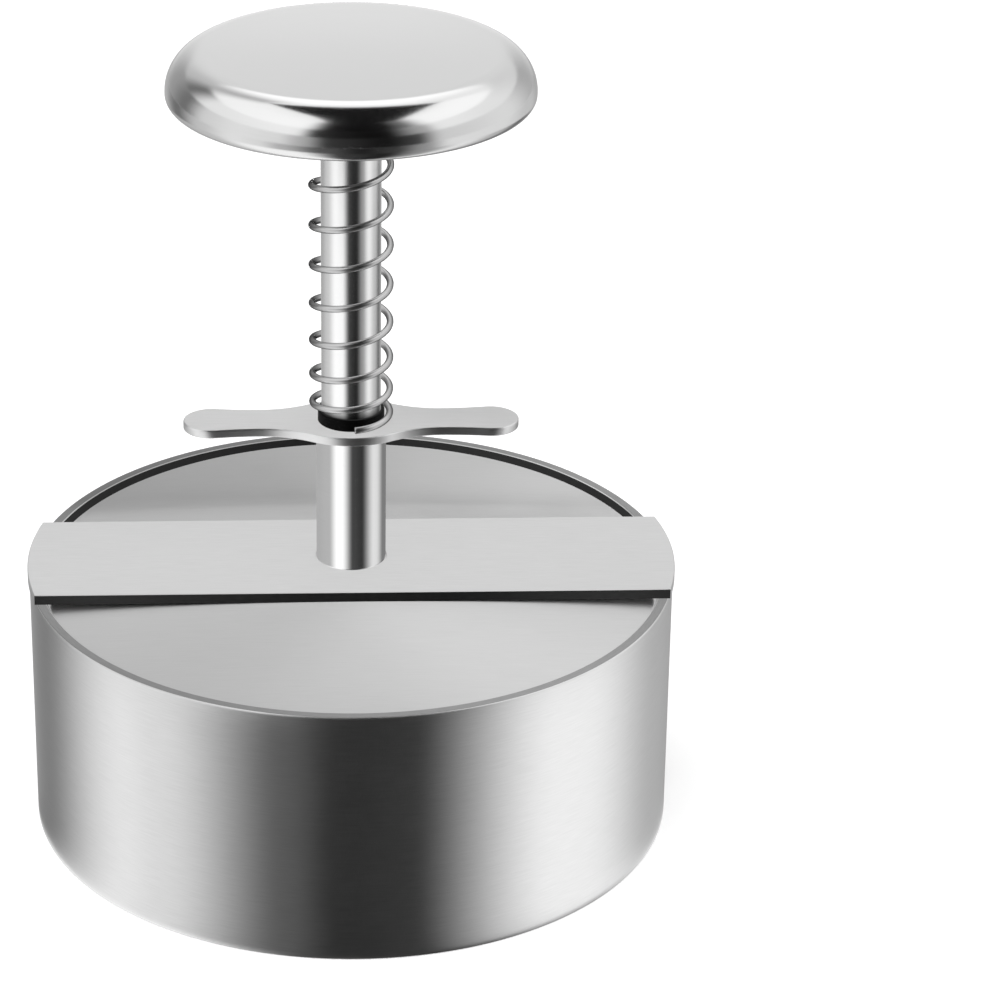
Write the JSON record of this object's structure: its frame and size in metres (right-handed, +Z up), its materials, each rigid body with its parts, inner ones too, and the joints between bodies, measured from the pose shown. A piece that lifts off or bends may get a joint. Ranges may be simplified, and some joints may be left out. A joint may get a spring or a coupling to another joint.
{
  "type": "burger press",
  "caption": "Hand press for round patties: an open steel ring with a bar, guide sleeve and finger plate, and a sprung plunger with a round plate below and a round knob on top.",
  "frame": {"origin": "centre of the mould ring's lower rim, on the table", "axes": "+Z up along the rod, +X along the bar and the finger plate, -Y towards the front"},
  "size_m": [0.1106, 0.11, 0.1381],
  "materials": {
    "brushed_stainless": "fine straight brushing, satin",
    "polished_stainless": "polished, nearly mirror bright",
    "spring_wire": "drawn stainless wire, semi-bright",
    "black_nylon": "turned nylon, satin"
  },
  "bodies": {
    "frame": {"mould_ring": "brushed_stainless", "crossbar": "brushed_stainless", "guide_sleeve": "polished_stainless", "finger_plate": "brushed_stainless", "guide_bush": "black_nylon", "return_spring": "spring_wire"},
    "spring_seat": {"spring_washer": "polished_stainless"},
    "plunger": {"rod": "polished_stainless", "knob_shell": "polished_stainless", "knob_base": "brushed_stainless", "knob_nut": "brushed_stainless", "press_plate": "brushed_stainless", "plate_screw": "brushed_stainless"}
  },
  "joints": [
    {"name": "press_slide", "type": "slide", "parent": "frame", "child": "spring_seat", "axis": [0, 0, -1], "range_m": [0, 0.0415], "stiffness_N_per_m": 800, "springref_m": -0.006, "deforming": ["return_spring"]},
    {"name": "plunger_spin", "type": "hinge", "parent": "spring_seat", "child": "plunger", "pos_m": [0, 0, 0.1299], "axis": [0, 0, 1], "continuous": true}
  ]
}
